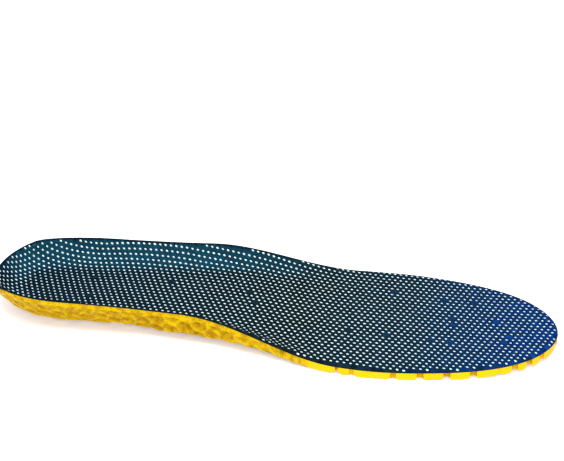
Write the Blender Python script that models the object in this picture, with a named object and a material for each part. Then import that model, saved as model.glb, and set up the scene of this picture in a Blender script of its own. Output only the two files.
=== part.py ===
"""A cushioned insole for a left shoe, as a stack of bonded plies.

The frame: +Y from heel to toe, +X towards the inner (medial) side of the foot, +Z up, with the
origin at the middle of the footprint on the surface that the insole lies on.

The plies, from the bottom up, are a moulded foam base, a hot-melt film, and the three layers of a
spacer-mesh cover: backing knit, spacer core and face mesh. Each ply is one piece that bends under
the ball of the foot. It is cut there into a rear and a front solid, which meet at the flex line.
"""

import math

import bmesh
import bpy
import numpy as np

MM = 0.001

# Footprint, in mm from the back of the heel: (towards the medial side, towards the toe).
OUTLINE_MM = [
    (4.0, 0.0),
    (24.0, 5.0),
    (35.5, 25.0),
    (36.5, 48.0),
    (34.0, 88.0),
    (37.0, 127.0),
    (44.2, 165.3),
    (46.0, 190.0),
    (42.4, 216.5),
    (33.2, 246.6),
    (19.5, 263.8),
    (2.5, 270.0),
    (-15.0, 265.0),
    (-31.6, 249.2),
    (-42.3, 223.8),
    (-46.4, 188.0),
    (-43.9, 148.3),
    (-38.0, 98.0),
    (-31.0, 55.0),
    (-26.5, 25.0),
    (-16.0, 5.5),
]

# Foam base
FOAM_THICK_FRONT = 3.6 * MM
FOAM_THICK_REAR = 7.0 * MM
THICKNESS_CHANGE = (100 * MM, 168 * MM)  # where the foam thins, from the back of the heel
WALL_REACH = 19.0 * MM  # how far in from the outline the wall starts to rise
ARCH_RIM_RISE = 13.0 * MM  # rim over the front of the foam, along the arch
HEEL_RIM_RISE = 2.0 * MM  # what the heel's rim adds to that
HEEL_BACK_DIP = 2.5 * MM
ARCH_RIM_FALL = (97 * MM, 172 * MM)
HEEL_RIM_FALL = (40 * MM, 100 * MM)
HEEL_BACK_SPAN = (0.0, 14 * MM)
RIM_LIP = 2.0 * MM  # foam thickness left at the rim of the cup
ARCH_FULL_SPAN = (62 * MM, 100 * MM)  # from here forward the wall's underside is fuller
TOE_SPRING = 2.2 * MM  # how far the tip of the toe curves up, with all the plies
TOE_SPRING_SPAN = (208 * MM, 270 * MM)

# Inner control points of the wall's section: outwards as a share of the reach, up as a share of the rise
UNDER_LEAVES_FLOOR = (0.32, 0.72)  # at the heel, and where the underside is full
UNDER_TURN = (0.63, 0.98)
UNDER_TURN_RISE = 0.27
OVER_LEAVES_CORE = 0.36
OVER_TURN, OVER_TURN_RISE = 0.68, 0.03

# Cover plies: name, lower and upper distance from the foam's top, colour, roughness
PLY_GAP = 0.05 * MM
PLIES = [
    ("adhesive_film", 0.15 * MM, (0.02, 0.02, 0.03, 1.0), 0.6),
    ("backing_knit", 0.25 * MM, (0.012, 0.016, 0.04, 1.0), 0.9),
    ("spacer_core", 0.55 * MM, (0.80, 0.80, 0.74, 1.0), 0.9),
    ("face_mesh", 0.35 * MM, (0.015, 0.05, 0.20, 1.0), 0.8),
]
FOAM_COLOUR = (0.95, 0.66, 0.01, 1.0)

# Flex line under the ball of the foot
FLEX_Y = 183.5 * MM  # where it crosses the middle, from the back of the heel
FLEX_SKEW = math.radians(12.5)  # its medial end lies further forward
FLEX_GAP = 0.3 * MM

# Mesh density
AROUND = 64
WALL_STEPS = (0.2, 0.4, 0.6, 0.8, 1.0)


def clear_scene():
    for old in list(bpy.data.objects):
        bpy.data.objects.remove(old, do_unlink=True)


def smooth_step(value, span):
    u = np.clip((value - span[0]) / (span[1] - span[0]), 0.0, 1.0)
    return u * u * (3 - 2 * u)


def closed_spline(points, count):
    """Samples of the smooth closed cubic curve through the points, evenly spaced along it."""
    p = np.asarray(points, float)
    n = len(p)
    step = np.linalg.norm(np.roll(p, -1, 0) - p, axis=1)
    before = np.roll(step, 1)
    system = np.zeros((n, n))
    rows = np.arange(n)
    system[rows, rows] = 2 * (before + step)
    system[rows, (rows - 1) % n] = before
    system[rows, (rows + 1) % n] = step
    slope = (np.roll(p, -1, 0) - p) / step[:, None]
    second = np.linalg.solve(system, 6 * (slope - np.roll(slope, 1, 0)))
    fine = []
    for i in range(n):
        j = (i + 1) % n
        h = step[i]
        t = np.linspace(0, h, 24, endpoint=False)[:, None]
        bend = ((h - t) ** 3 * second[i] + t**3 * second[j]) / (6 * h)
        straight = (p[i] / h - second[i] * h / 6) * (h - t) + (p[j] / h - second[j] * h / 6) * t
        fine.append(bend + straight)
    fine = np.vstack(fine)
    loop = np.vstack([fine, fine[:1]])
    length = np.r_[0, np.cumsum(np.linalg.norm(np.diff(loop, axis=0), axis=1))]
    at = np.linspace(0, length[-1], count, endpoint=False)
    return np.stack([np.interp(at, length, loop[:, k]) for k in (0, 1)], axis=1)


def inward(loop):
    """Unit vectors into a closed loop that runs anticlockwise."""
    along = np.roll(loop, -1, 0) - np.roll(loop, 1, 0)
    along /= np.linalg.norm(along, axis=1)[:, None]
    return np.stack([-along[:, 1], along[:, 0]], axis=1)


def foam_thickness(y):
    return FOAM_THICK_REAR + (FOAM_THICK_FRONT - FOAM_THICK_REAR) * smooth_step(y, THICKNESS_CHANGE)


def rim_top(y):
    """Height of the foam's top at the outline."""
    arch = ARCH_RIM_RISE * (1 - smooth_step(y, ARCH_RIM_FALL))
    heel = HEEL_RIM_RISE * (1 - smooth_step(y, HEEL_RIM_FALL))
    back = HEEL_BACK_DIP * (1 - smooth_step(y, HEEL_BACK_SPAN))
    return FOAM_THICK_FRONT + arch + heel - back


def rim_lip(y):
    return FOAM_THICK_FRONT + (RIM_LIP - FOAM_THICK_FRONT) * (1 - smooth_step(y, ARCH_RIM_FALL))


def toe_spring(y):
    """How far the toe is raised."""
    u = np.clip((y - TOE_SPRING_SPAN[0]) / (TOE_SPRING_SPAN[1] - TOE_SPRING_SPAN[0]), 0.0, None)
    return TOE_SPRING * u * u


def bezier(points, t):
    a, b, c, d = points
    return (1 - t) ** 3 * a + 3 * (1 - t) ** 2 * t * b + 3 * (1 - t) * t * t * c + t**3 * d


def between(ends, share):
    return ends[0] + (ends[1] - ends[0]) * share


def wall_rows(outline):
    """For the underside and the top of the foam: one ring of points per wall step, from the flat
    core outwards to the outline."""
    normal = inward(outline)
    core = outline + normal * WALL_REACH
    y = outline[:, 1]
    thick = foam_thickness(core[:, 1])
    top = rim_top(y)
    bottom = top - rim_lip(y)
    reach = WALL_REACH
    zero = np.zeros(len(y))
    full = smooth_step(y, ARCH_FULL_SPAN)
    under_shape = [
        (zero, zero),
        (between(UNDER_LEAVES_FLOOR, full) * reach, zero),
        (between(UNDER_TURN, full) * reach, UNDER_TURN_RISE * bottom),
        (zero + reach, bottom),
    ]
    over_shape = [
        (zero, thick),
        (zero + OVER_LEAVES_CORE * reach, thick),
        (zero + OVER_TURN * reach, thick + OVER_TURN_RISE * (top - thick)),
        (zero + reach, top),
    ]
    surfaces = []
    for shape in (under_shape, over_shape):
        rings = []
        for t in (0.0, *WALL_STEPS):
            out = bezier([s[0] for s in shape], t)
            height = bezier([s[1] for s in shape], t)
            plan = core - normal * out[:, None]
            rings.append(np.column_stack([plan, height + toe_spring(plan[:, 1])]))
        surfaces.append(rings)
    return surfaces


def surface_faces(n, rings):
    """Faces of one surface, facing up: quads between the rings, and a ladder across the core."""
    quads = []
    for r in range(rings - 1):
        for i in range(n):
            j = (i + 1) % n
            inner, outer = r * n, (r + 1) * n
            quads.append((inner + i, outer + i, outer + j, inner + j))
    for i in range(n // 2):
        left, right = (n - i) % n, i
        quads.append(tuple(dict.fromkeys((left, right, right + 1, (n - i - 1) % n))))
    return quads


def vertex_normals(points, faces):
    total = np.zeros_like(points)
    for face in faces:
        corners = points[list(face)]
        area = np.zeros(3)
        for k in range(1, len(face) - 1):
            area += np.cross(corners[k] - corners[0], corners[k + 1] - corners[0])
        total[list(face)] += area
    return total / np.linalg.norm(total, axis=1)[:, None]


def closed_ply(lower, upper, faces, n):
    """A bmesh solid between two surfaces with the same faces, closed around the outline."""
    bm = bmesh.new()
    low = [bm.verts.new(p) for p in lower]
    high = [bm.verts.new(p) for p in upper]
    for face in faces:
        bm.faces.new([high[i] for i in face])
        bm.faces.new([low[i] for i in reversed(face)])
    rim = len(lower) - n
    for i in range(n):
        j = (i + 1) % n
        bm.faces.new((low[rim + i], low[rim + j], high[rim + j], high[rim + i]))
    bmesh.ops.triangulate(bm, faces=bm.faces[:])
    return bm


def cut_at_flex(bm, centre, front):
    """Keeps the front or the rear of a ply, half the flex gap away from the flex line."""
    along = np.array([-math.sin(FLEX_SKEW), math.cos(FLEX_SKEW), 0.0])
    middle = np.array([0.0, FLEX_Y - centre[1], 0.0])
    sign = 1.0 if front else -1.0
    half = bm.copy()
    geometry = half.verts[:] + half.edges[:] + half.faces[:]
    bmesh.ops.bisect_plane(
        half,
        geom=geometry,
        dist=1e-7,
        plane_co=middle + along * sign * FLEX_GAP / 2,
        plane_no=-along * sign,
        clear_outer=True,
    )
    border = [e for e in half.edges if e.is_boundary]
    bmesh.ops.holes_fill(half, edges=border)
    bmesh.ops.triangulate(half, faces=half.faces[:])
    return half


def material(name, colour, roughness):
    made = bpy.data.materials.new(name)
    made.use_nodes = True
    made.diffuse_color = colour
    shader = made.node_tree.nodes["Principled BSDF"]
    shader.inputs["Base Color"].default_value = colour
    shader.inputs["Roughness"].default_value = roughness
    shader.inputs["Metallic"].default_value = 0.0
    return made


def add_object(name, bm, finish, collection, pivot=None):
    """Adds the solid. With a pivot, the object's origin and parent are the flex axis."""
    if pivot is not None:
        bmesh.ops.transform(bm, matrix=pivot.matrix_world.inverted(), verts=bm.verts[:])
    mesh = bpy.data.meshes.new(name)
    bm.to_mesh(mesh)
    bm.free()
    mesh.materials.append(finish)
    mesh.shade_smooth()
    mesh.set_sharp_from_angle(angle=math.radians(40))
    placed = bpy.data.objects.new(name, mesh)
    collection.objects.link(placed)
    if pivot is not None:
        placed.parent = pivot


def flex_axis(centre, height, collection):
    """An empty whose X axis is the flex axis, in the top of the cover under the ball."""
    pivot = bpy.data.objects.new("toe_flex_axis", None)
    pivot.location = (0.0, FLEX_Y - centre[1], height)
    pivot.rotation_euler = (0.0, 0.0, FLEX_SKEW)
    pivot.empty_display_size = 0.02
    collection.objects.link(pivot)
    bpy.context.view_layer.update()
    return pivot


def add_ply(name, lower, upper, faces, finish, centre, pivot, collection):
    whole = closed_ply(lower, upper, faces, AROUND)
    rear = cut_at_flex(whole, centre, front=False)
    front = cut_at_flex(whole, centre, front=True)
    whole.free()
    add_object(f"{name}_rear", rear, finish, collection)
    add_object(f"{name}_front", front, finish, collection, pivot)


def main():
    clear_scene()
    collection = bpy.data.collections.new("cushioned_insole")
    bpy.context.scene.collection.children.link(collection)

    outline = closed_spline(np.array(OUTLINE_MM) * MM, AROUND)
    centre = (outline.min(0) + outline.max(0)) / 2
    under_rings, over_rings = wall_rows(outline)
    faces = surface_faces(AROUND, len(under_rings))
    shift = np.append(centre, 0.0)
    under = np.vstack(under_rings) - shift
    over = np.vstack(over_rings) - shift
    up = vertex_normals(over, faces)

    cover = sum(ply[1] + PLY_GAP for ply in PLIES)
    pivot = flex_axis(centre, FOAM_THICK_FRONT + cover, collection)
    foam = material("foam", FOAM_COLOUR, 0.45)
    add_ply("foam_base", under, over, faces, foam, centre, pivot, collection)
    level = 0.0
    for name, thickness, colour, roughness in PLIES:
        level += PLY_GAP
        lower = over + up * level
        level += thickness
        upper = over + up * level
        finish = material(name, colour, roughness)
        add_ply(name, lower, upper, faces, finish, centre, pivot, collection)


main()
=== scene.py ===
"""The looks of the cushioned insole: a honeycomb foam base under a spacer-mesh cover.

Lengths are in millimetres here, in the frame of the CAD model, and become metres when a mesh is made.
Each ply is laid out flat, as it was before it was moulded, and is then carried onto the CAD shape:
a flat point is a place on the flat core, or further out on the wall by its distance up the wall.
"""

import math

import bpy
import numpy as np
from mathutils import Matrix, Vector, noise


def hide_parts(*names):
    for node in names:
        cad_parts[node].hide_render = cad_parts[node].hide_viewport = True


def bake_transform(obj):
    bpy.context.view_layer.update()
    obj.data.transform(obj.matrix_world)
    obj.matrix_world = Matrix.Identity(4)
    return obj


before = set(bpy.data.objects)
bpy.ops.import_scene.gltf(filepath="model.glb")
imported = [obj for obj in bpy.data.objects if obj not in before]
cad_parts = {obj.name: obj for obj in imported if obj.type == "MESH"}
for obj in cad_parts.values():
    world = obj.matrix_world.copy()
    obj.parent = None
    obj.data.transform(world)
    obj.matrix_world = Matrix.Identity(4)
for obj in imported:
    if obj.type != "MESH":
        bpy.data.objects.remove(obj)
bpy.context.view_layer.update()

MM = 0.001

# The shape, as the CAD model has it
OUTLINE = [
    (4.0, 0.0), (24.0, 5.0), (35.5, 25.0), (36.5, 48.0), (34.0, 88.0), (37.0, 127.0), (44.2, 165.3),
    (46.0, 190.0), (42.4, 216.5), (33.2, 246.6), (19.5, 263.8), (2.5, 270.0), (-15.0, 265.0),
    (-31.6, 249.2), (-42.3, 223.8), (-46.4, 188.0), (-43.9, 148.3), (-38.0, 98.0), (-31.0, 55.0),
    (-26.5, 25.0), (-16.0, 5.5),
]
HALF_LENGTH = 135.0
FOAM_FRONT, FOAM_REAR = 3.6, 7.0
THICKNESS_CHANGE = (100.0, 168.0)
WALL_REACH = 19.0
ARCH_RIM_RISE, ARCH_RIM_FALL = 13.0, (97.0, 172.0)
HEEL_RIM_RISE, HEEL_RIM_FALL = 2.0, (40.0, 100.0)
HEEL_BACK_DIP, HEEL_BACK_SPAN = 2.5, (0.0, 14.0)
RIM_LIP = 2.0
TOE_SPRING, TOE_SPRING_SPAN = 2.2, (208.0, 270.0)

# The wall's section, as shares of its reach and of its rise. A pair is for the heel and for the full
# arch, where the underside stays on the floor for longer.
ARCH_FULL_SPAN = (62.0, 100.0)
UNDER_LEAVES_FLOOR = (0.32, 0.72)
UNDER_TURN, UNDER_TURN_RISE = (0.63, 0.98), 0.27
OVER_LEAVES_CORE = 0.36
OVER_TURN, OVER_TURN_RISE = 0.68, 0.03

# Levels of the cover's surfaces, above the foam's top
FILM_LEVEL = 0.12
BACKING_LEVEL = 0.40
SPACER_LEVEL = 1.14
TUFT_RISE = 0.27
FACE_LEVEL = 1.46
FACE_THICK = 0.16
EDGE_PINCH, PINCH_REACH = 0.45, 1.8  # the cover is pressed down this near to its cut edge

LOOP_POINTS = 900
SPLINE_STEPS = 60
PROFILE_STEPS = 13
PAST_RIM = 1.15  # flat points past the rim are carried on up to this share of the wall's length
ON_EDGE = 0.05  # nearer than this to the core's edge, the edge's own normal is taken
BATCH = 8000  # points that are looked up at once


# --- Shape of the insole ---------------------------------------------------------------------------


def smooth_step(value, low, high):
    """0 up to low, 1 from high on, and smooth between them."""
    u = np.clip((value - low) / (high - low), 0.0, 1.0)
    return u * u * (3 - 2 * u)


def between(ends, share):
    return ends[0] + (ends[1] - ends[0]) * share


def closed_spline(points, count):
    """Samples of the smooth closed cubic curve through the points, evenly spaced along it."""
    p = np.asarray(points, float)
    n = len(p)
    step = np.linalg.norm(np.roll(p, -1, 0) - p, axis=1)
    before = np.roll(step, 1)
    system = np.zeros((n, n))
    rows = np.arange(n)
    system[rows, rows] = 2 * (before + step)
    system[rows, (rows - 1) % n] = before
    system[rows, (rows + 1) % n] = step
    slope = (np.roll(p, -1, 0) - p) / step[:, None]
    second = np.linalg.solve(system, 6 * (slope - np.roll(slope, 1, 0)))
    fine = []
    for i in range(n):
        j = (i + 1) % n
        h = step[i]
        t = np.linspace(0, h, SPLINE_STEPS, endpoint=False)[:, None]
        bend = ((h - t) ** 3 * second[i] + t**3 * second[j]) / (6 * h)
        straight = (p[i] / h - second[i] * h / 6) * (h - t) + (p[j] / h - second[j] * h / 6) * t
        fine.append(bend + straight)
    fine = np.vstack(fine)
    loop = np.vstack([fine, fine[:1]])
    length = np.r_[0, np.cumsum(np.linalg.norm(np.diff(loop, axis=0), axis=1))]
    at = np.linspace(0, length[-1], count, endpoint=False)
    return np.stack([np.interp(at, length, loop[:, k]) for k in (0, 1)], axis=1)


def inward(loop):
    """The unit normals of a loop that runs anticlockwise, pointing in."""
    along = np.roll(loop, -1, 0) - np.roll(loop, 1, 0)
    along /= np.linalg.norm(along, axis=1)[:, None]
    return np.stack([-along[:, 1], along[:, 0]], axis=1)


def foam_thickness(y):
    return FOAM_REAR + (FOAM_FRONT - FOAM_REAR) * smooth_step(y + HALF_LENGTH, *THICKNESS_CHANGE)


def rear_share(y):
    """1 where the edge is a moulded wall, 0 where it is a plain cut edge."""
    return 1 - smooth_step(y + HALF_LENGTH, *ARCH_RIM_FALL)


def rim_top(y):
    heel = HEEL_RIM_RISE * (1 - smooth_step(y + HALF_LENGTH, *HEEL_RIM_FALL))
    back = HEEL_BACK_DIP * (1 - smooth_step(y + HALF_LENGTH, *HEEL_BACK_SPAN))
    return FOAM_FRONT + ARCH_RIM_RISE * rear_share(y) + heel - back


def rim_lip(y):
    return FOAM_FRONT + (RIM_LIP - FOAM_FRONT) * rear_share(y)


def toe_spring(y):
    low, high = TOE_SPRING_SPAN
    return TOE_SPRING * np.clip((y + HALF_LENGTH - low) / (high - low), 0.0, None) ** 2


class Shape:
    """Carries flat points onto the underside or the top of the foam."""

    def __init__(self):
        outline = closed_spline(OUTLINE, LOOP_POINTS)
        outline -= (outline.min(0) + outline.max(0)) / 2
        self.normal = inward(outline)
        self.core = outline + self.normal * WALL_REACH

    def nearest(self, flat):
        """For each flat point: the nearest point of the core's edge, the unit vector out of the
        core there, and the signed distance, positive on the wall."""
        loop = self.core
        n = len(loop)
        best = np.empty(len(flat), int)
        square = (loop**2).sum(1)
        for start in range(0, len(flat), BATCH):
            part = flat[start : start + BATCH]
            best[start : start + BATCH] = (square - 2 * part @ loop.T).argmin(1)
        point = np.empty_like(flat)
        least = np.full(len(flat), np.inf)
        for side in (-1, 0):
            a = loop[(best + side) % n]
            b = loop[(best + side + 1) % n]
            ab = b - a
            t = np.clip(((flat - a) * ab).sum(1) / (ab * ab).sum(1), 0, 1)
            foot = a + ab * t[:, None]
            distance = np.linalg.norm(flat - foot, axis=1)
            closer = distance < least
            point[closer] = foot[closer]
            least[closer] = distance[closer]
        away = flat - point
        sign = np.where((away * self.normal[best]).sum(1) < 0, 1.0, -1.0)
        out = -self.normal[best]
        clear = least > ON_EDGE
        out[clear] = sign[clear, None] * away[clear] / least[clear, None]
        return point, out, sign * least

    def profiles(self, point, out):
        """Control points (outward, up) of the wall's section, underneath and on top."""
        edge_y = point[:, 1] + out[:, 1] * WALL_REACH
        thick = foam_thickness(point[:, 1])
        top = rim_top(edge_y)
        bottom = top - rim_lip(edge_y)
        zero = np.zeros(len(thick))
        reach = zero + WALL_REACH
        full = smooth_step(edge_y + HALF_LENGTH, *ARCH_FULL_SPAN)
        under = [
            (zero, zero),
            (between(UNDER_LEAVES_FLOOR, full) * reach, zero),
            (between(UNDER_TURN, full) * reach, UNDER_TURN_RISE * bottom),
            (reach, bottom),
        ]
        over = [
            (zero, thick),
            (OVER_LEAVES_CORE * reach, thick),
            (OVER_TURN * reach, thick + OVER_TURN_RISE * (top - thick)),
            (reach, top),
        ]
        return np.array(under), np.array(over)

    def arc(self, section):
        """Points of each section at even steps, and the arc length up to each."""
        t = np.linspace(0, 1, PROFILE_STEPS)
        weights = np.stack([(1 - t) ** 3, 3 * (1 - t) ** 2 * t, 3 * (1 - t) * t * t, t**3])
        path = np.einsum("kt,kdn->ntd", weights, section)
        run = np.linalg.norm(np.diff(path, axis=1), axis=2)
        length = np.concatenate([np.zeros((len(run), 1)), np.cumsum(run, axis=1)], axis=1)
        return path, length

    def carry(self, flat):
        """For flat points laid out by the underside's length: their places underneath and on top, and
        how far past the outline they are."""
        point, out, past = self.nearest(flat)
        under, over = self.profiles(point, out)
        under_path, under_length = self.arc(under)
        over_path, over_length = self.arc(over)
        share = past / under_length[:, -1]
        low, _ = self.place(flat, point, out, share, under_path, under_length, np.zeros(len(flat)))
        thick = foam_thickness(flat[:, 1])
        high, _ = self.place(flat, point, out, share, over_path, over_length, thick)
        return low, high, past - under_length[:, -1]

    def under_past(self, flat):
        """How far past the outline flat points are, laid out by the underside's length."""
        return self.carry(flat)[2]

    def carry_top(self, flat, level):
        """For flat points laid out by the top's length, and their levels above the foam."""
        point, out, past = self.nearest(flat)
        _, over = self.profiles(point, out)
        path, length = self.arc(over)
        share = past / length[:, -1]
        thick = foam_thickness(flat[:, 1])
        place, normal = self.place(flat, point, out, share, path, length, thick)
        pinch = 1 - EDGE_PINCH * (1 - smooth_step(length[:, -1] - past, 0.0, PINCH_REACH))
        return place + normal * (np.asarray(level) * pinch)[:, None]

    def top_past(self, flat):
        """How far past the outline flat points are, laid out by the top's length."""
        point, out, past = self.nearest(flat)
        _, over = self.profiles(point, out)
        return past - self.arc(over)[1][:, -1]

    @staticmethod
    def place(flat, point, out, share, path, length, core_height):
        """Points and normals at a share of each section's length. On the core they stay flat."""
        rows = np.arange(len(flat))
        target = np.clip(share, 0, PAST_RIM) * length[:, -1]
        cell = np.clip((length <= target[:, None]).sum(1) - 1, 0, PROFILE_STEPS - 2)
        a, b = path[rows, cell], path[rows, cell + 1]
        step = length[rows, cell + 1] - length[rows, cell]
        t = (target - length[rows, cell]) / step
        section = a + (b - a) * t[:, None]
        before = path[rows, np.maximum(cell - 1, 0)]
        after = path[rows, np.minimum(cell + 2, PROFILE_STEPS - 1)]
        slope = (b - before) * (1 - t)[:, None] + (after - a) * t[:, None]
        slope /= np.linalg.norm(slope, axis=1)[:, None]
        place = np.column_stack([point + out * section[:, :1], section[:, 1]])
        normal = np.column_stack([-out * slope[:, 1:], slope[:, 0]])
        core = share <= 0
        place[core] = np.column_stack([flat[core], core_height[core]])
        normal[core] = (0, 0, 1)
        place[:, 2] += toe_spring(place[:, 1])
        return place, normal


# --- Lattices --------------------------------------------------------------------------------------

TABLE_END, TABLE_MARGIN = 220.0, 5.0  # how far the tables run towards the toe and the heel
LARGEST_STEP, NEWTON_STEPS = 40.0, 14
PHASE_STEPS = 1000  # phases that differ by less than one part in this many are the same
FARTHEST_CELL = (80.0, 165.0)
CELL_REACH = 7.0  # a cell whose middle is this far past the outline may still reach inside it
HASH_ROW, HASH_COLUMN, HASH_SEED, HASH_SCALE = 127.1, 311.7, 74.7, 43758.5453
SNAP = 0.03  # points this near to the outline count as on it


class Lattice:
    """Cells in two families of rows that cross. Each station down the foot gives both families'
    direction, in degrees, and the distance between their rows. Sideways says how much denser the
    rows get for each mm towards the medial side."""

    def __init__(self, stations, offset, sideways):
        self.y = np.arange(-TABLE_END, TABLE_END + 1.0, 1.0)
        self.sideways = sideways
        at = [s[0] for s in stations]
        self.across, self.sum = [], []
        for k in (0, 1):
            angle = [math.radians(s[1 + k][0]) for s in stations]
            gap = [s[1 + k][1] for s in stations]
            across = np.interp(self.y, at, [math.cos(a) / g for a, g in zip(angle, gap)])
            forward = np.interp(self.y, at, [math.sin(a) / g for a, g in zip(angle, gap)])
            total = np.cumsum(forward)
            self.across.append(across)
            self.sum.append(total - np.interp(0.0, self.y, total) + offset[k])

    def phase(self, flat):
        x, y = flat[:, 0], flat[:, 1]
        found = [
            x * np.interp(y, self.y, self.across[k])
            + np.interp(y, self.y, self.sum[k])
            + self.sideways[k] * x * x / 2
            for k in (0, 1)
        ]
        return np.stack(found, axis=1)

    def point(self, phase):
        """The flat points with these phases, by Newton's method."""
        flat = np.zeros_like(phase)
        nudge = 0.5
        farthest = TABLE_END - TABLE_MARGIN
        for _ in range(NEWTON_STEPS):
            error = phase - self.phase(flat)
            dx = (self.phase(flat + (nudge, 0)) - self.phase(flat - (nudge, 0))) / (2 * nudge)
            dy = (self.phase(flat + (0, nudge)) - self.phase(flat - (0, nudge))) / (2 * nudge)
            det = dx[:, 0] * dy[:, 1] - dx[:, 1] * dy[:, 0]
            step_x = (error[:, 0] * dy[:, 1] - error[:, 1] * dy[:, 0]) / det
            step_y = (dx[:, 0] * error[:, 1] - dx[:, 1] * error[:, 0]) / det
            step = np.stack([step_x, step_y], axis=1)
            flat = flat + np.clip(step, -LARGEST_STEP, LARGEST_STEP)
            flat[:, 1] = np.clip(flat[:, 1], -farthest, farthest)
        return flat


def hexagon(per_side):
    """Points round the border of a lattice's cell, as phases."""
    turns = [k * math.pi / 3 for k in range(7)]
    corners = [np.array([math.cos(turn), math.sin(turn)]) * 2 / 3 for turn in turns]
    points = []
    for a, b in zip(corners[:-1], corners[1:]):
        points += [a + (b - a) * s / per_side for s in range(per_side)]
    points = np.array(points)
    return np.stack([points[:, 0], -0.5 * points[:, 0] + math.sqrt(0.75) * points[:, 1]], axis=1)


class Cells:
    """The cells of a lattice that are at least partly inside the outline, each with its border."""

    def __init__(self, lattice, past, per_side, reach):
        i, j = np.meshgrid(np.arange(-reach, reach + 1), np.arange(-reach, reach + 1))
        phase = np.stack([i.ravel(), j.ravel()], axis=1).astype(float)
        flat = lattice.point(phase)
        good = (np.abs(flat) < FARTHEST_CELL).all(1)
        good &= np.abs(lattice.phase(flat) - phase).max(1) < 1 / PHASE_STEPS
        phase, flat = phase[good], flat[good]
        inside = past(flat) < CELL_REACH
        self.phase, self.centre = phase[inside], flat[inside]
        shape = hexagon(per_side)
        every = (self.phase[:, None, :] + shape[None]).reshape(-1, 2)
        whole = np.round(every * PHASE_STEPS).astype(int)
        _, first, inverse = np.unique(whole, axis=0, return_index=True, return_inverse=True)
        self.border = lattice.point(every[first])
        self.index = inverse.reshape(len(self.phase), len(shape))
        arm = self.border[self.index] - self.centre[:, None, :]
        self.radius = np.linalg.norm(arm, axis=2)
        self.arm = arm / self.radius[:, :, None]

    def luck(self, seed):
        """A number from 0 to 1 for each cell, always the same."""
        angle = self.phase[:, 0] * HASH_ROW + self.phase[:, 1] * HASH_COLUMN + seed * HASH_SEED
        value = np.sin(angle) * HASH_SCALE
        return value - np.floor(value)

    def vary(self, seed, span):
        """A factor for each cell, 1 in the middle of this span, as a column."""
        return 1 + span * (self.luck(seed)[:, None] - 0.5)

    def at(self, stations, table):
        """The table's value at each cell's place down the foot."""
        return np.interp(self.centre[:, 1], stations, table)

    def ellipse(self, long, short, direction):
        """The radius of an ellipse at each of the cell's border points."""
        angle = np.arctan2(self.arm[:, :, 1], self.arm[:, :, 0]) - math.radians(direction)
        return long * short / np.hypot(short * np.cos(angle), long * np.sin(angle))


class Rings:
    """A mesh of rings in each cell: the shared border first, and then inwards. Each point has a row
    of values."""

    def __init__(self, cells, border_values):
        self.cells = cells
        self.flat = [cells.border]
        self.values = [np.asarray(border_values)]
        self.index = [cells.index]
        self.count = len(cells.border)

    def add(self, distance, *values):
        shape = self.cells.radius.shape
        along_arm = self.cells.arm * np.broadcast_to(distance, shape)[:, :, None]
        points = self.cells.centre[:, None, :] + along_arm
        self.flat.append(points.reshape(-1, 2))
        rows = [np.broadcast_to(value, shape).reshape(-1) for value in values]
        self.values.append(np.stack(rows, axis=1))
        self.index.append(self.count + np.arange(points.shape[0] * points.shape[1]).reshape(shape))
        self.count += self.index[-1].size

    def add_middle(self, *values):
        count = len(self.cells.centre)
        self.flat.append(self.cells.centre)
        rows = [np.broadcast_to(value, count) for value in values]
        self.values.append(np.stack(rows, axis=1))
        self.middle = self.count + np.arange(count)

    def faces(self, cell, levels, capped):
        around = self.cells.index.shape[1]
        faces = []
        for outer, inner in zip(levels[:-1], levels[1:]):
            a, b = self.index[outer][cell], self.index[inner][cell]
            for k in range(around):
                m = (k + 1) % around
                faces.append((a[k], a[m], b[m], b[k]))
        if capped[cell]:
            last = self.index[levels[-1]][cell]
            for k in range(around):
                faces.append((last[k], last[(k + 1) % around], self.middle[cell]))
        return faces

    def trim(self, past_of, capped, inset=0.0):
        """Trims the cells to the outline, or to a line that is inset from it. Returns the flat points,
        their values, the faces, a second list of faces in which a whole cell has only its first and
        last rings, and which points are on the cut."""
        flat, values = list(np.vstack(self.flat)), list(np.vstack(self.values))
        levels = list(range(len(self.index)))
        past = past_of(np.array(flat)) + inset
        past[np.abs(past) < SNAP] = 0.0
        faces, coarse, cuts = [], [], {}
        for cell in range(len(self.cells.centre)):
            border = past[self.cells.index[cell]]
            if border.min() >= 0:
                continue
            fine = self.faces(cell, levels, capped)
            if border.max() <= 0:
                faces += fine
                coarse += self.faces(cell, [levels[0], levels[-1]], capped)
                continue
            kept = clip_faces(fine, flat, values, past, cuts)
            faces += kept
            coarse += kept
        on_cut = np.zeros(len(flat), bool)
        on_cut[list(cuts.values())] = True
        on_cut[: len(past)] |= past == 0.0
        return np.array(flat), np.array(values), faces, coarse, on_cut


def clip_faces(faces, flat, values, past, cuts):
    """The part of each face inside the outline, where past is under 0. New points on an edge that
    the outline crosses are added to flat and values, and shared through cuts."""
    kept = []
    for face in faces:
        inside = [past[i] <= 0 for i in face]
        if all(inside):
            kept.append(face)
            continue
        if not any(inside):
            continue
        ring = []
        for k, i in enumerate(face):
            j = face[(k + 1) % len(face)]
            if inside[k]:
                ring.append(i)
            if inside[k] != inside[(k + 1) % len(face)] and past[i] != 0 and past[j] != 0:
                a, b = min(i, j), max(i, j)
                if (a, b) not in cuts:
                    share = past[a] / (past[a] - past[b])
                    flat.append(flat[a] + (flat[b] - flat[a]) * share)
                    values.append(values[a] + (values[b] - values[a]) * share)
                    cuts[(a, b)] = len(flat) - 1
                ring.append(cuts[(a, b)])
        if len(ring) > 2:
            kept.append(tuple(ring))
    return kept


def open_edges(faces):
    """Edges that only one face has, in the direction that the face runs."""
    directed = set()
    for face in faces:
        for k, i in enumerate(face):
            directed.add((i, face[(k + 1) % len(face)]))
    return sorted(edge for edge in directed if (edge[1], edge[0]) not in directed)


# --- Meshes ----------------------------------------------------------------------------------------


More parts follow.
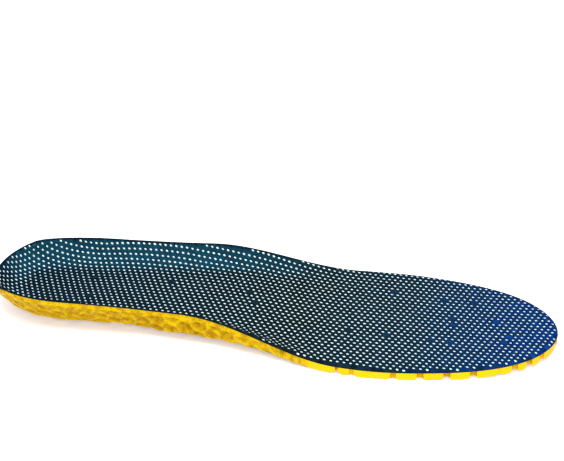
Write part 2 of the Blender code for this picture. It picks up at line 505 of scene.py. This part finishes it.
def make_piece(name, points, faces, finish, attributes, sharp=None):
    """A mesh object in metres, from points in mm. Points that no face has are left out."""
    used = np.unique(np.fromiter((i for face in faces for i in face), int))
    new = np.full(len(points), -1)
    new[used] = np.arange(len(used))
    mesh = bpy.data.meshes.new(name)
    mesh.from_pydata((points[used] * MM).tolist(), [], [tuple(new[list(face)]) for face in faces])
    for key, value in attributes.items():
        layer = mesh.attributes.new(key, "FLOAT", "POINT")
        layer.data.foreach_set("value", np.asarray(value)[used].astype(np.float32))
    mesh.materials.append(finish)
    mesh.validate()
    mesh.shade_smooth()
    if sharp is not None:
        mesh.set_sharp_from_angle(angle=math.radians(sharp))
    made = bpy.data.objects.new(name, mesh)
    bpy.context.scene.collection.objects.link(made)
    return made


NOISE_SHIFT = 17.3  # keeps noises with different seeds apart


def roughly(points, size, seed):
    """Smooth noise from -1 to 1 at each point, with lumps of about this size in mm."""
    moved = (points + seed * NOISE_SHIFT) / size
    return np.array([noise.noise(Vector(p)) for p in moved])


FOAM_LATTICE = Lattice(
    [
        (-110.0, (41.3, 7.55), (155.8, 7.41)),
        (-60.0, (41.8, 7.18), (156.6, 7.14)),
        (-20.0, (39.5, 7.19), (155.4, 7.06)),
        (20.0, (41.3, 6.80), (157.9, 7.16)),
        (60.0, (42.4, 6.44), (159.9, 7.25)),
        (100.0, (42.0, 6.07), (157.9, 7.22)),
    ],
    offset=(0.06, 0.03),
    sideways=(0.00024, -0.00029),
)
MESH_LATTICE = Lattice(
    [
        (-130.0, (-13.3, 2.611), (113.0, 2.514)),
        (-90.0, (7.4, 2.576), (115.1, 2.581)),
        (-50.0, (-2.6, 2.820), (116.1, 2.527)),
        (-10.0, (-2.1, 2.857), (117.6, 2.437)),
        (30.0, (-4.8, 2.721), (121.3, 2.357)),
        (70.0, (-2.3, 2.730), (123.6, 2.359)),
        (110.0, (1.5, 2.689), (127.3, 2.385)),
    ],
    offset=(0.72, 0.12),
    sideways=(0.00076, -0.00047),
)

# The foam's cells at stations down the foot. Radii and depths in mm; hexagonal from 0, round, to 1.
CELL_STATIONS = (-120.0, -80.0, -30.0, 10.0, 45.0, 90.0)
HOLE_RADIUS = (0.55, 0.55, 0.55, 0.70, 1.15, 1.60)
LIP_RADIUS = (3.50, 3.40, 3.05, 2.65, 2.40, 2.35)
FLOOR_RADIUS = (2.50, 2.30, 1.70, 1.10, 1.35, 1.70)
CELL_DEPTH = (2.80, 2.80, 2.50, 1.90, 1.25, 0.85)
HEXAGONAL = (0.60, 0.50, 0.30, 0.12, 0.05, 0.00)
CREASE = (0.00, 0.00, 0.12, 0.30, 0.34, 0.36)
OPEN_STATIONS = (-125.0, -100.0, -40.0, 5.0, 35.0)
OPEN_SHARE = (0.10, 0.45, 0.55, 0.70, 1.00)

# Lips and floors as shares of a cell's own radius: hexagonal cells, and cells on the wall
HEX_LIP, HEX_FLOOR = 0.88, 0.60
WALL_LIP = 0.93

# The most that a hole, a plug or a floor takes up of what is round it, and the least land in mm
FLOOR_TO_LIP, HOLE_TO_FLOOR, PLUG_TO_FLOOR = 0.80, 0.92, 0.45
LEAST_LAND = 0.30

# How much cells differ from each other
LIP_VARY, WALL_LIP_VARY, HOLE_VARY = 0.08, 0.14, 0.15
DEPTH_VARY, WALL_DEPTH_VARY = 0.20, 0.3

# How far up the wall its own kind of cell starts, and how much less floor and how many fewer holes
# it has there
WALL_CELLS_START = (1.0, 7.0)
WALL_FLOOR_LESS, WALL_OPEN_LESS = 0.50, 0.7

# A cell's section. The land's rings: a share of the way from the border to the lip, and a depth in mm.
# The bowl's rings: a share of the way from the lip to the floor, and a share of the cell's depth.
LAND_RINGS = [(0.32, 0.05), (0.70, 0.0)]
BOWL_RINGS = [(0.0, 0.10), (0.20, 0.36), (0.60, 0.76), (1.0, 0.93)]
PLUG_DEPTH = 1.02
TOP_FLARE = 0.45  # a hole is this share wider at the foam's top

# Creases between the cells, and folds on the wall
CREASE_SIZE, CREASE_BASE, CREASE_SWING, CREASE_MOST = 7.0, 0.45, 2.2, 1.5
SMALL_FOLD, SMALL_FOLD_SIZE, SMALL_FOLD_SQUEEZE = 0.55, 2.6, (1, 0.5, 1.5)
LARGE_FOLD, LARGE_FOLD_SIZE = 0.35, 5.0
FOLD_DEPTH, DEEPEST_SHARE = 0.35, 0.70
FOLDS_START, FOLDS_EDGE = (2.0, 8.0), (0.0, 0.7)
CREASE_NOISE, SMALL_FOLD_NOISE, LARGE_FOLD_NOISE = 1, 2, 3

SKIN_END = (20.0, 26.0)  # the edge is moulded and wrinkled up to here, and cut from here on
SKIN_START = (3.0, 15.0)  # how far up the wall the skin's streaks and painted shade come in
SKIN_OVER_CUT = 0.95
CELLS_FADE = (0.4, 1.8)  # cells flatten out at this distance from a moulded edge
# Painted shade: a point's sink over SHADE_DEPTH darkens the foam's colour, so the craters are painted
# darker; the foam's top is painted at TOP_SHADE
SHADE_DEPTH, TOP_SHADE = 3.0, 0.3

# Which fixed series of chances each thing that differs from cell to cell follows
BY_HOLE, BY_LIP, BY_DEPTH, BY_OPEN, BY_UNOPENED = 1, 2, 3, 4, 5
BY_EYELET, BY_TONE, BY_TUFT, BY_WALL_LIP, BY_PLAIN = 6, 7, 8, 9, 10

FOAM_CELL_RANGE, MESH_CELL_RANGE = 60, 130
FOAM_CELL_SIDES, PLY_CELL_SIDES, MESH_CELL_SIDES = 4, 2, 2
SHARP_ANGLE = 50


def foam_rings(cells, wall):
    """The rings of the foam's cells, with how deep each point lies and how far it moves out at the
    top, and which cells are closed. Wall is 1 for a cell on the wall and 0 for one on the floor."""
    radius = cells.radius
    hexagonal = cells.at(CELL_STATIONS, HEXAGONAL)[:, None]
    lip = cells.at(CELL_STATIONS, LIP_RADIUS)[:, None] * cells.vary(BY_LIP, LIP_VARY)
    lip = lip * (1 - hexagonal) + radius * HEX_LIP * hexagonal
    wall_lip = radius.min(1)[:, None] * WALL_LIP * cells.vary(BY_WALL_LIP, WALL_LIP_VARY)
    lip = np.minimum(lip * (1 - wall) + wall_lip * wall, radius - LEAST_LAND)
    floor = cells.at(CELL_STATIONS, FLOOR_RADIUS)[:, None] * (1 - hexagonal)
    floor = floor + radius * HEX_FLOOR * hexagonal
    floor = np.minimum(floor * (1 - WALL_FLOOR_LESS * wall), lip * FLOOR_TO_LIP)
    depth = cells.at(CELL_STATIONS, CELL_DEPTH)[:, None]
    depth = depth * cells.vary(BY_DEPTH, DEPTH_VARY + WALL_DEPTH_VARY * wall)
    open_share = cells.at(OPEN_STATIONS, OPEN_SHARE) * (1 - WALL_OPEN_LESS * wall[:, 0])
    closed = cells.luck(BY_OPEN) > open_share
    hole = cells.at(CELL_STATIONS, HOLE_RADIUS)[:, None] * cells.vary(BY_HOLE, HOLE_VARY)
    hole = np.minimum(hole, floor * HOLE_TO_FLOOR)
    hole = np.where(closed[:, None], floor * PLUG_TO_FLOOR, hole)

    zero = np.zeros(len(cells.border))
    crumple = roughly(np.column_stack([cells.border, zero]), CREASE_SIZE, CREASE_NOISE)
    crease = np.interp(cells.border[:, 1], CELL_STATIONS, CREASE)
    crease = crease * np.clip(CREASE_BASE + CREASE_SWING * crumple, 0.0, CREASE_MOST)
    rings = Rings(cells, np.stack([crease, zero, zero], axis=1))
    for share, ring_depth in LAND_RINGS:
        rings.add(radius - share * (radius - lip), ring_depth, 0.0, 0.0)
    for share, depth_share in BOWL_RINGS:
        rings.add(lip * (1 - share) + floor * share, depth_share * depth, 0.0, 0.0)
    flare = TOP_FLARE * hole
    rings.add(hole, depth, flare * cells.arm[:, :, 0], flare * cells.arm[:, :, 1])
    rings.add_middle(depth[:, 0] * PLUG_DEPTH, 0.0, 0.0)
    return rings, closed


def build_foam(shape, finish):
    cells = Cells(FOAM_LATTICE, shape.under_past, FOAM_CELL_SIDES, FOAM_CELL_RANGE)
    _, _, climb = shape.nearest(cells.centre)
    wall = (smooth_step(climb, *WALL_CELLS_START) * rear_share(cells.centre[:, 1]))[:, None]
    rings, closed = foam_rings(cells, wall)
    flat, values, faces, coarse, on_cut = rings.trim(shape.under_past, closed)

    low, high, past = shape.carry(flat)
    spread = values[:, 1:3]
    spreads = np.abs(spread).sum(1)[:, None] > 0
    high = np.where(spreads, shape.carry(flat + spread)[1], high)
    through = np.linalg.norm(high - low, axis=1)
    moulded = 1 - smooth_step(flat[:, 1], *SKIN_END)
    fade = 1 - moulded * (1 - smooth_step(-past, *CELLS_FADE))
    _, _, climb = shape.nearest(flat)
    folded = smooth_step(climb, *FOLDS_START) * rear_share(flat[:, 1])
    folded = folded * smooth_step(-past, *FOLDS_EDGE)
    folds = SMALL_FOLD * roughly(low * SMALL_FOLD_SQUEEZE, SMALL_FOLD_SIZE, SMALL_FOLD_NOISE)
    folds += LARGE_FOLD * roughly(low, LARGE_FOLD_SIZE, LARGE_FOLD_NOISE)
    sink = values[:, 0] * fade + folded * (FOLD_DEPTH + folds)
    sink = np.clip(sink, 0.0, DEEPEST_SHARE * through)
    under = low + (high - low) * (sink / through)[:, None]

    count = len(under)
    mesh_faces = [tuple(reversed(face)) for face in faces]
    mesh_faces += [tuple(i + count for i in face) for face in coarse]
    mesh_faces += [(a, b, b + count, a + count) for a, b in open_edges(faces)]
    attributes = {
        # painted shade, darker the deeper a point lies in its crater
        "painted_depth_shade": np.concatenate([sink / SHADE_DEPTH, np.full(count, TOP_SHADE)]),
        "cut": np.tile(on_cut * (1 - SKIN_OVER_CUT * moulded), 2),
        # wall brings in the skin's streaks and painted shade on the moulded wall, and its wrinkle bumps
        "wall": np.tile(smooth_step(climb, *SKIN_START) * moulded, 2),
    }
    points = np.vstack([under, high])
    return make_piece("honeycomb_foam", points, mesh_faces, finish, attributes, SHARP_ANGLE)


EYELET_LONG, EYELET_SHORT, EYELET_TURN = 1.02, 0.74, 66.0
EYELET_VARY, EYELET_MOST, EYELET_LIP = 0.12, 0.78, 0.06
CLOSED_EYELETS, CLOSED_PATCH = 0.022, 0.72
CLOSED_LEAST, CLOSED_MORE, CLOSED_SPAN = 0.3, 1.3, (20.0, 110.0)  # more of them towards the toe
CLOSED_CLIMB = 4.0  # none are closed further up the wall than this
EDGE_BAND_FLAT, EDGE_BAND_WALL = 0.72, 1.15
EDGE_DROP, BORDER_DROP, SKIRT_LEVEL = 0.12, 0.03, 0.16
PLAIN_TONE, PLAIN_TONE_VARY, CELL_TONE, BORDER_TONE = 0.7, 0.5, 0.9, 0.4
# Painted sheen on the lateral wall: how far up the wall it comes in, and its fade across to the lateral
# side
SHEEN_START, SHEEN_LATERAL = (2.0, 12.0), (-12.0, 12.0)


def build_face(shape, cells, finish):
    """The upper knit: a sheet with an eyelet in each cell, and a skirt down to the foam at its edge."""
    along = cells.centre[:, 1]
    more_at_toe = CLOSED_LEAST + CLOSED_MORE * smooth_step(along, *CLOSED_SPAN)
    low_enough = shape.nearest(cells.centre)[2] < CLOSED_CLIMB
    unopened = cells.luck(BY_UNOPENED) < CLOSED_EYELETS * more_at_toe * low_enough
    band = between((EDGE_BAND_FLAT, EDGE_BAND_WALL), rear_share(along))
    closed = unopened | (shape.top_past(cells.centre) > -band)
    eyelet = cells.ellipse(EYELET_LONG, EYELET_SHORT, EYELET_TURN) * cells.vary(BY_EYELET, EYELET_VARY)
    eyelet = np.minimum(eyelet, cells.radius * EYELET_MOST)
    eyelet = np.where(closed[:, None], cells.radius * CLOSED_PATCH, eyelet)
    plain = unopened * (PLAIN_TONE + PLAIN_TONE_VARY * cells.luck(BY_PLAIN))
    tone = np.maximum(plain, CELL_TONE * cells.luck(BY_TONE))
    rings = Rings(cells, np.tile((FACE_LEVEL - BORDER_DROP, BORDER_TONE), (len(cells.border), 1)))
    rings.add(eyelet, FACE_LEVEL, tone[:, None])
    inner_level = np.where(closed[:, None], FACE_LEVEL, FACE_LEVEL - FACE_THICK)
    rings.add(eyelet - EYELET_LIP, inner_level, tone[:, None])
    rings.add_middle(FACE_LEVEL, tone)
    flat, values, faces, _, on_cut = rings.trim(shape.top_past, closed)

    edge_level = np.minimum(values[:, 0], FACE_LEVEL - EDGE_DROP)
    points = shape.carry_top(flat, np.where(on_cut, edge_level, values[:, 0]))
    rim = [edge for edge in open_edges(faces) if on_cut[edge[0]] and on_cut[edge[1]]]
    foot = sorted({i for edge in rim for i in edge})
    new = {i: len(points) + k for k, i in enumerate(foot)}
    skirt = shape.carry_top(flat[foot], np.full(len(foot), SKIRT_LEVEL))
    points = np.vstack([points, skirt])
    faces = faces + [(b, a, new[a], new[b]) for a, b in rim]
    everywhere = np.vstack([flat, flat[foot]])
    _, _, climb = shape.nearest(everywhere)
    # painted sheen, on the lateral wall only
    wall = smooth_step(climb, *SHEEN_START) * rear_share(everywhere[:, 1])
    wall = wall * smooth_step(-everywhere[:, 0], *SHEEN_LATERAL)
    wall[shape.top_past(everywhere) > -EDGE_BAND_WALL] = 0.0
    attributes = {"cell_tone": np.concatenate([values[:, 1], np.zeros(len(foot))]), "wall": wall}
    return make_piece("face_mesh_sheet", points, faces, finish, attributes, SHARP_ANGLE)


TUFT_LONG, TUFT_SHORT, TUFT_VARY = 0.70, 0.44, 0.16
TUFT_LESS_AT_HEEL, TUFT_HEEL_SPAN = 0.20, (-95.0, -40.0)
TUFT_LESS_AT_TOE, TUFT_TOE_SPAN = 0.11, (45.0, 110.0)
TUFT_WALL_START = (3.0, 8.0)
TUFT_FOOT, TUFT_FOOT_RISE = 1.10, 0.04
TUFT_HEAD, TUFT_HEAD_SHARE = 0.90, 0.75
SPACER_INSET = 0.45


def build_spacer(shape, cells, finish):
    """The yarns between the knits, in a tuft under each eyelet."""
    _, _, climb = shape.nearest(cells.centre)
    along = cells.centre[:, 1]
    on_wall = smooth_step(climb, *TUFT_WALL_START) * rear_share(along)
    less = TUFT_LESS_AT_HEEL * (1 - smooth_step(along, *TUFT_HEEL_SPAN)) * (1 - on_wall)
    less += TUFT_LESS_AT_TOE * smooth_step(along, *TUFT_TOE_SPAN)
    size = cells.vary(BY_TUFT, TUFT_VARY) - less[:, None]
    tuft = cells.ellipse(TUFT_LONG, TUFT_SHORT, EYELET_TURN) * size
    rings = Rings(cells, np.tile((SPACER_LEVEL, 0.0), (len(cells.border), 1)))
    rings.add(tuft * TUFT_FOOT, SPACER_LEVEL + TUFT_FOOT_RISE, 0.0)
    rings.add(tuft * TUFT_HEAD, SPACER_LEVEL + TUFT_HEAD_SHARE * TUFT_RISE, 1.0)
    rings.add_middle(SPACER_LEVEL + TUFT_RISE, 1.0)
    every_cell = np.ones(len(cells.centre), bool)
    flat, values, faces, _, _ = rings.trim(shape.top_past, every_cell, SPACER_INSET)
    points = shape.carry_top(flat, values[:, 0])
    return make_piece("spacer_tufts", points, faces, finish, {"yarn": values[:, 1]})


PLY_INSET = 0.5
PLY_OPENING = 1.9
PLY_PATCH, PLY_PATCH_MOST = 1.5, 0.7


def build_ply(shape, cells, name, level, opening, finish):
    """A thin ply on the foam's lattice. With an opening, it is open over the foam's cells."""
    rings = Rings(cells, np.full((len(cells.border), 1), level))
    rings.add(np.minimum(opening or PLY_PATCH, cells.radius * PLY_PATCH_MOST), level)
    rings.add_middle(level)
    closed = np.full(len(cells.centre), opening is None)
    flat, values, faces, _, _ = rings.trim(shape.top_past, closed, PLY_INSET)
    points = shape.carry_top(flat, values[:, 0])
    return make_piece(name, points, faces, finish, {})


# --- Materials -------------------------------------------------------------------------------------


def new_material(name, colour, roughness):
    """A material, its node tree and its shader."""
    made = bpy.data.materials.new(name)
    made.use_nodes = True
    made.diffuse_color = (*colour, 1.0)
    shader = made.node_tree.nodes["Principled BSDF"]
    shader.inputs["Base Color"].default_value = (*colour, 1.0)
    shader.inputs["Roughness"].default_value = roughness
    return made, made.node_tree, shader


def noise_value(tree, coordinates, scale, detail=4.0):
    node = tree.nodes.new("ShaderNodeTexNoise")
    node.inputs["Scale"].default_value = scale
    node.inputs["Detail"].default_value = detail
    tree.links.new(coordinates, node.inputs["Vector"])
    return node.outputs["Fac"]


def ramp(tree, value, stops):
    node = tree.nodes.new("ShaderNodeValToRGB")
    while len(node.color_ramp.elements) < len(stops):
        node.color_ramp.elements.new(0.5)
    for element, (place, colour) in zip(node.color_ramp.elements, stops):
        element.position = place
        element.color = (*colour, 1.0)
    tree.links.new(value, node.inputs["Fac"])
    return node.outputs["Color"]


def mix(tree, kind, share, a, b):
    node = tree.nodes.new("ShaderNodeMix")
    node.data_type = "RGBA"
    node.blend_type = kind
    for socket, value in ((node.inputs["Factor"], share), (node.inputs["A"], a), (node.inputs["B"], b)):
        if hasattr(value, "is_linked"):
            tree.links.new(value, socket)
        elif isinstance(value, tuple):
            socket.default_value = (*value, 1.0)
        else:
            socket.default_value = value
    return node.outputs["Result"]


def bump(tree, height, strength, distance):
    node = tree.nodes.new("ShaderNodeBump")
    node.inputs["Strength"].default_value = strength
    node.inputs["Distance"].default_value = distance
    tree.links.new(height, node.inputs["Height"])
    return node.outputs["Normal"]


def attribute(tree, name):
    node = tree.nodes.new("ShaderNodeAttribute")
    node.attribute_name = name
    return node.outputs["Fac"]


def object_coordinates(tree):
    return tree.nodes.new("ShaderNodeTexCoord").outputs["Object"]


def grey(level):
    return (level, level, level)


# Colours. A list is a ramp: stops from 0 to 1, each with its colour
CUT_FOAM = (0.70, 0.43, 0.004)
# Painted shade: the foam's colour by how deep it lies in a cell, darker in the craters
FOAM_PAINTED_DEPTH_SHADE = [
    (0.0, (0.70, 0.43, 0.001)),
    (0.15, (0.66, 0.40, 0.001)),
    (0.45, (0.54, 0.30, 0.001)),
    (1.0, (0.50, 0.27, 0.001)),
]
FOAM_CLOUDS = [(0.3, grey(0.90)), (0.7, grey(1.0))]
# The wall's skin: darker streaks, and painted shade that darkens the whole moulded wall
SKIN_STREAKS_AND_SHADE = [(0.38, (0.58, 0.54, 0.18)), (0.56, (0.84, 0.90, 0.50))]
FOAM_ROUGHNESS = [(0.3, grey(0.28)), (0.7, grey(0.46))]
# The knit's dark colour with painted sheen: bluer at the heel, near black in the middle, royal blue at
# the toe
KNIT_SHEEN_HEEL_TO_TOE = [
    (0.0, (0.0016, 0.0105, 0.0205)),
    (0.3, (0.0026, 0.0115, 0.0195)),
    (0.55, (0.0040, 0.0110, 0.0125)),
    (0.75, (0.0030, 0.0170, 0.0330)),
    (1.0, (0.0008, 0.0250, 0.1250)),
]
# Painted sheen: a teal tint on the lateral wall of the heel cup
KNIT_SHEEN_ON_WALL = (0.0040, 0.0400, 0.0700)
KNIT_BY_CELL = [
    (0.0, grey(0.50)),
    (0.5, grey(0.9)),
    (0.85, (1.2, 1.35, 1.4)),
    (1.0, (1.1, 1.45, 2.1)),
]
YARN_WHITES = [(0.3, (0.38, 0.52, 0.56)), (0.65, (0.66, 0.80, 0.84))]
YARN_SHARE = [(0.2, grey(0.0)), (0.8, grey(1.0))]
# The dark yarn base round each tuft, painted near black as the shade inside each eyelet as well
DARK_YARN_AND_EYELET_SHADE = (0.004, 0.008, 0.016)
FLOOR_TONES = [(0.3, (0.915, 0.905, 0.965)), (0.7, (0.925, 0.915, 0.975))]
DARKER, LIGHTER = (0.3, 0.6), (0.7, 1.6)  # stops, and what the colour is multiplied by there


def foam_material():
    made, tree, shader = new_material("yellow_eva_foam", (0.86, 0.54, 0.003), roughness=0.36)
    place = object_coordinates(tree)
    # painted shade in the craters, by how deep each point lies
    depth = ramp(tree, attribute(tree, "painted_depth_shade"), FOAM_PAINTED_DEPTH_SHADE)
    cut = mix(tree, "MIX", attribute(tree, "cut"), depth, CUT_FOAM)
    clouds = ramp(tree, noise_value(tree, place, scale=70.0), FOAM_CLOUDS)
    # on the moulded wall: the skin's streaks, and painted shade that darkens it
    streaks_and_shade = ramp(tree, noise_value(tree, place, scale=380.0), SKIN_STREAKS_AND_SHADE)
    streaked_and_shaded = mix(tree, "MULTIPLY", attribute(tree, "wall"), clouds, streaks_and_shade)
    colour = mix(tree, "MULTIPLY", 1.0, cut, streaked_and_shaded)
    tree.links.new(colour, shader.inputs["Base Color"])
    rough = ramp(tree, noise_value(tree, place, scale=300.0), FOAM_ROUGHNESS)
    tree.links.new(rough, shader.inputs["Roughness"])
    grain_height = noise_value(tree, place, scale=1100.0, detail=3.0)
    grain = bump(tree, grain_height, strength=0.30, distance=0.0002)
    wrinkled = tree.nodes.new("ShaderNodeBump")
    wrinkled.inputs["Distance"].default_value = 0.0012
    tree.links.new(attribute(tree, "wall"), wrinkled.inputs["Strength"])
    tree.links.new(noise_value(tree, place, scale=450.0), wrinkled.inputs["Height"])
    tree.links.new(grain, wrinkled.inputs["Normal"])
    tree.links.new(wrinkled.outputs["Normal"], shader.inputs["Normal"])
    shader.inputs["Specular IOR Level"].default_value = 0.03
    return made


def face_material():
    made, tree, shader = new_material("blue_face_knit", (0.01, 0.04, 0.14), roughness=0.9)
    place = object_coordinates(tree)
    split = tree.nodes.new("ShaderNodeSeparateXYZ")
    tree.links.new(place, split.inputs[0])
    along = tree.nodes.new("ShaderNodeMapRange")
    along.inputs["From Min"].default_value = -HALF_LENGTH * MM
    along.inputs["From Max"].default_value = HALF_LENGTH * MM
    tree.links.new(split.outputs["Y"], along.inputs["Value"])
    # painted sheen down the foot, brightest at the toe
    sheen_heel_to_toe = ramp(tree, along.outputs["Result"], KNIT_SHEEN_HEEL_TO_TOE)
    # painted teal sheen on the lateral wall
    knit_with_sheen = mix(tree, "MIX", attribute(tree, "wall"), sheen_heel_to_toe, KNIT_SHEEN_ON_WALL)
    by_cell = ramp(tree, attribute(tree, "cell_tone"), KNIT_BY_CELL)
    colour = mix(tree, "MULTIPLY", 1.0, knit_with_sheen, by_cell)
    tree.links.new(colour, shader.inputs["Base Color"])
    weave = tree.nodes.new("ShaderNodeTexVoronoi")
    weave.inputs["Scale"].default_value = 2200.0
    tree.links.new(place, weave.inputs["Vector"])
    threads = bump(tree, weave.outputs["Distance"], strength=0.5, distance=0.0002)
    tree.links.new(threads, shader.inputs["Normal"])
    shader.inputs["Specular IOR Level"].default_value = 0.02
    return made


def spacer_material():
    made, tree, shader = new_material("white_spacer_yarn", (0.85, 0.86, 0.80), roughness=0.75)
    place = object_coordinates(tree)
    whites = ramp(tree, noise_value(tree, place, scale=900.0), YARN_WHITES)
    share = ramp(tree, attribute(tree, "yarn"), YARN_SHARE)
    # white tuft heads, and round them the dark yarn base with painted eyelet shade
    colour = mix(tree, "MIX", share, DARK_YARN_AND_EYELET_SHADE, whites)
    tree.links.new(colour, shader.inputs["Base Color"])
    yarn_height = noise_value(tree, place, scale=5000.0, detail=2.0)
    yarns = bump(tree, yarn_height, strength=0.5, distance=0.0001)
    tree.links.new(yarns, shader.inputs["Normal"])
    shader.inputs["Specular IOR Level"].default_value = 0.1
    return made


def dark_material(name, colour, roughness, scale):
    made, tree, shader = new_material(name, colour, roughness)
    place = object_coordinates(tree)
    tones = [(stop, tuple(factor * c for c in colour)) for stop, factor in (DARKER, LIGHTER)]
    tree.links.new(ramp(tree, noise_value(tree, place, scale), tones), shader.inputs["Base Color"])
    grain = bump(tree, noise_value(tree, place, scale * 2), strength=0.4, distance=0.0002)
    tree.links.new(grain, shader.inputs["Normal"])
    return made


def floor_material():
    """A pale floor that glows a little, so that the shadow on it stays light."""
    made, tree, shader = new_material("studio_floor", (0.92, 0.91, 0.97), roughness=0.7)
    tones = ramp(tree, noise_value(tree, object_coordinates(tree), scale=3.0), FLOOR_TONES)
    tree.links.new(tones, shader.inputs["Base Color"])
    shader.inputs["Specular IOR Level"].default_value = 0.1
    shader.inputs["Emission Color"].default_value = (0.80, 0.87, 1.0, 1.0)
    shader.inputs["Emission Strength"].default_value = 0.28
    return made


# --- Studio, in metres ------------------------------------------------------------------------------

VIEW_TARGET = Vector((-1.7, 2.1, 0.0)) * MM
VIEW_AZIMUTH, VIEW_ELEVATION = math.radians(10.9), math.radians(30.1)  # azimuth from +X towards +Y
VIEW_DISTANCE = 0.815
PICTURE_WIDTH, VIEW_SCALE = 564, 2080.0  # the scale is for a metre at the target, on that width
AIM_RIGHT, AIM_UP = 0.0021, 0.0408
SENSOR_WIDTH = 36.0
FLOOR_LEVEL, FLOOR_EDGE = -0.0001, 6.0


def build_camera():
    sine, cosine = math.sin(VIEW_AZIMUTH), math.cos(VIEW_AZIMUTH)
    level = math.cos(VIEW_ELEVATION)
    back = Vector((cosine * level, sine * level, math.sin(VIEW_ELEVATION)))
    right = Vector((-sine, cosine, 0.0))
    up = back.cross(right)
    data = bpy.data.cameras.new("camera")
    data.sensor_width = SENSOR_WIDTH
    data.lens = VIEW_SCALE * VIEW_DISTANCE / PICTURE_WIDTH * SENSOR_WIDTH
    camera = bpy.data.objects.new("camera", data)
    camera.location = VIEW_TARGET + back * VIEW_DISTANCE
    aim = VIEW_TARGET + right * AIM_RIGHT + up * AIM_UP
    camera.rotation_euler = (aim - camera.location).to_track_quat("-Z", "Y").to_euler()
    bpy.context.scene.collection.objects.link(camera)
    bpy.context.scene.camera = camera


def area_light(name, place, power, size):
    data = bpy.data.lights.new(name, "AREA")
    data.energy = power
    data.size = size
    lamp = bpy.data.objects.new(name, data)
    lamp.location = place
    lamp.rotation_euler = (-Vector(place)).to_track_quat("-Z", "Y").to_euler()
    bpy.context.scene.collection.objects.link(lamp)


def build_studio():
    mesh = bpy.data.meshes.new("floor")
    signs = [(-1, -1), (1, -1), (1, 1), (-1, 1)]
    corners = [(x * FLOOR_EDGE, y * FLOOR_EDGE, FLOOR_LEVEL) for x, y in signs]
    mesh.from_pydata(corners, [], [(0, 1, 2, 3)])
    mesh.materials.append(floor_material())
    floor = bpy.data.objects.new("floor", mesh)
    bpy.context.scene.collection.objects.link(floor)
    world = bpy.data.worlds.new("studio")
    world.use_nodes = True
    background = world.node_tree.nodes["Background"]
    background.inputs["Color"].default_value = (1.0, 1.0, 1.0, 1.0)
    background.inputs["Strength"].default_value = 1.0
    bpy.context.scene.world = world
    area_light("key", place=(0.35, 0.05, 1.10), power=11.8, size=0.6)
    area_light("front", place=(1.0, 0.25, 0.55), power=4.6, size=0.7)
    bpy.context.scene.view_settings.view_transform = "Standard"


# --- The pieces ------------------------------------------------------------------------------------


def bend_with(piece, *nodes):
    """Bakes the piece's transform, and hides these CAD nodes, which the piece is drawn in place of."""
    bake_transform(piece)
    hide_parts(*nodes)


def build_insole():
    shape = Shape()
    foam = build_foam(shape, foam_material())
    bend_with(foam, "foam_base_rear", "foam_base_front")
    cells = Cells(FOAM_LATTICE, shape.top_past, PLY_CELL_SIDES, FOAM_CELL_RANGE)
    finish = dark_material("hot_melt_film", (0.02, 0.02, 0.03), roughness=0.4, scale=700.0)
    film = build_ply(shape, cells, "adhesive_web", FILM_LEVEL, PLY_OPENING, finish)
    bend_with(film, "adhesive_film_rear", "adhesive_film_front")
    finish = dark_material("backing_knit", (0.012, 0.018, 0.05), roughness=0.9, scale=1800.0)
    backing = build_ply(shape, cells, "backing_knit_sheet", BACKING_LEVEL, None, finish)
    bend_with(backing, "backing_knit_rear", "backing_knit_front")
    cells = Cells(MESH_LATTICE, shape.top_past, MESH_CELL_SIDES, MESH_CELL_RANGE)
    spacer = build_spacer(shape, cells, spacer_material())
    bend_with(spacer, "spacer_core_rear", "spacer_core_front")
    face = build_face(shape, cells, face_material())
    bend_with(face, "face_mesh_rear", "face_mesh_front")


build_insole()
build_camera()
build_studio()
